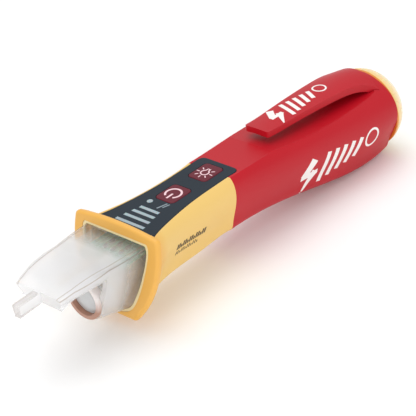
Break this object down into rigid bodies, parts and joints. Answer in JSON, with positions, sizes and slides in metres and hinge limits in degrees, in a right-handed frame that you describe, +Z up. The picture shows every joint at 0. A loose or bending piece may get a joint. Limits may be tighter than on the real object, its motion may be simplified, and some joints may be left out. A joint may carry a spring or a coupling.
{
  "type": "non contact voltage tester",
  "caption": "Pen-shaped non contact voltage tester with a clear sensing nose, torch, control panel, pocket clip and slide-out battery holder.",
  "frame": {"origin": "under the middle of the length, on the surface that the tester lies on", "axes": "+X along the tester from the sensing blade to the battery cap, +Z up, out of the control panel"},
  "size_m": [0.1599, 0.0326, 0.0316],
  "materials": {
    "front_shell_yellow": "satin moulded ABS",
    "grip_red": "satin moulded plastic",
    "clear_lens": "polished clear polycarbonate",
    "seal_amber": "soft moulded elastomer",
    "panel_black": "smooth hard-coated film",
    "button_red": "satin silicone",
    "diffuser": "translucent moulded acrylic",
    "board_green": "solder-masked laminate",
    "component_black": "moulded epoxy",
    "component_metal": "tinned",
    "led_clear": "clear epoxy",
    "bezel_copper": "moulded, metallic brown",
    "reflector_chrome": "vacuum metallised",
    "inner_plastic": "moulded nylon",
    "contact_nickel": "nickel-plated spring steel",
    "contact_brass": "turned brass",
    "cell_jacket": "printed film jacket",
    "cap_yellow": "translucent moulded plastic",
    "ring_orange": "moulded plastic",
    "seal_black": "nitrile rubber",
    "screw_steel": "zinc plated"
  },
  "bodies": {
    "housing": {"front_housing": "front_shell_yellow", "nose_lens": "clear_lens", "nose_seal": "seal_amber", "rear_housing": "grip_red", "control_panel": "panel_black", "power_switch": "component_metal", "torch_switch": "component_metal", "light_guide": "diffuser", "power_lamp": "diffuser", "bar_leds": "led_clear", "main_board": "board_green", "controller_chip": "component_black", "board_components": "component_black", "buzzer": "component_black", "signal_leds": "led_clear", "sensor_antenna": "contact_brass", "torch_bezel": "bezel_copper", "torch_lens": "clear_lens", "torch_reflector": "reflector_chrome", "torch_led": "led_clear", "battery_tube": "inner_plastic", "board_screws": "screw_steel", "positive_leaf": "contact_nickel", "negative_strip": "contact_nickel"},
    "power_key": {"power_button": "button_red", "power_plunger": "component_black"},
    "torch_key": {"torch_button": "button_red", "torch_plunger": "component_black"},
    "clip": {"pocket_clip": "grip_red"},
    "battery_holder": {"battery_sled": "inner_plastic", "sled_contact": "contact_brass", "battery_spring": "contact_nickel", "front_cell": "cell_jacket", "rear_cell": "cell_jacket", "end_cap": "cap_yellow", "cap_ring": "ring_orange", "cap_seal": "seal_black"}
  },
  "joints": [
    {"name": "power_press", "type": "slide", "parent": "housing", "child": "power_key", "axis": [0, 0, -1], "range_m": [0, 0.0005], "stiffness_N_per_m": 400},
    {"name": "torch_press", "type": "slide", "parent": "housing", "child": "torch_key", "axis": [0, 0, -1], "range_m": [0, 0.0005], "stiffness_N_per_m": 400},
    {"name": "clip_flex", "type": "hinge", "parent": "housing", "child": "clip", "pos_m": [0.068, 0, 0.0257], "axis": [0, 1, 0], "range_deg": [0, 4], "stiffness_Nm_per_rad": 6},
    {"name": "battery_slide", "type": "slide", "parent": "housing", "child": "battery_holder", "axis": [1, 0, 0], "range_m": [0, 0.098]}
  ]
}
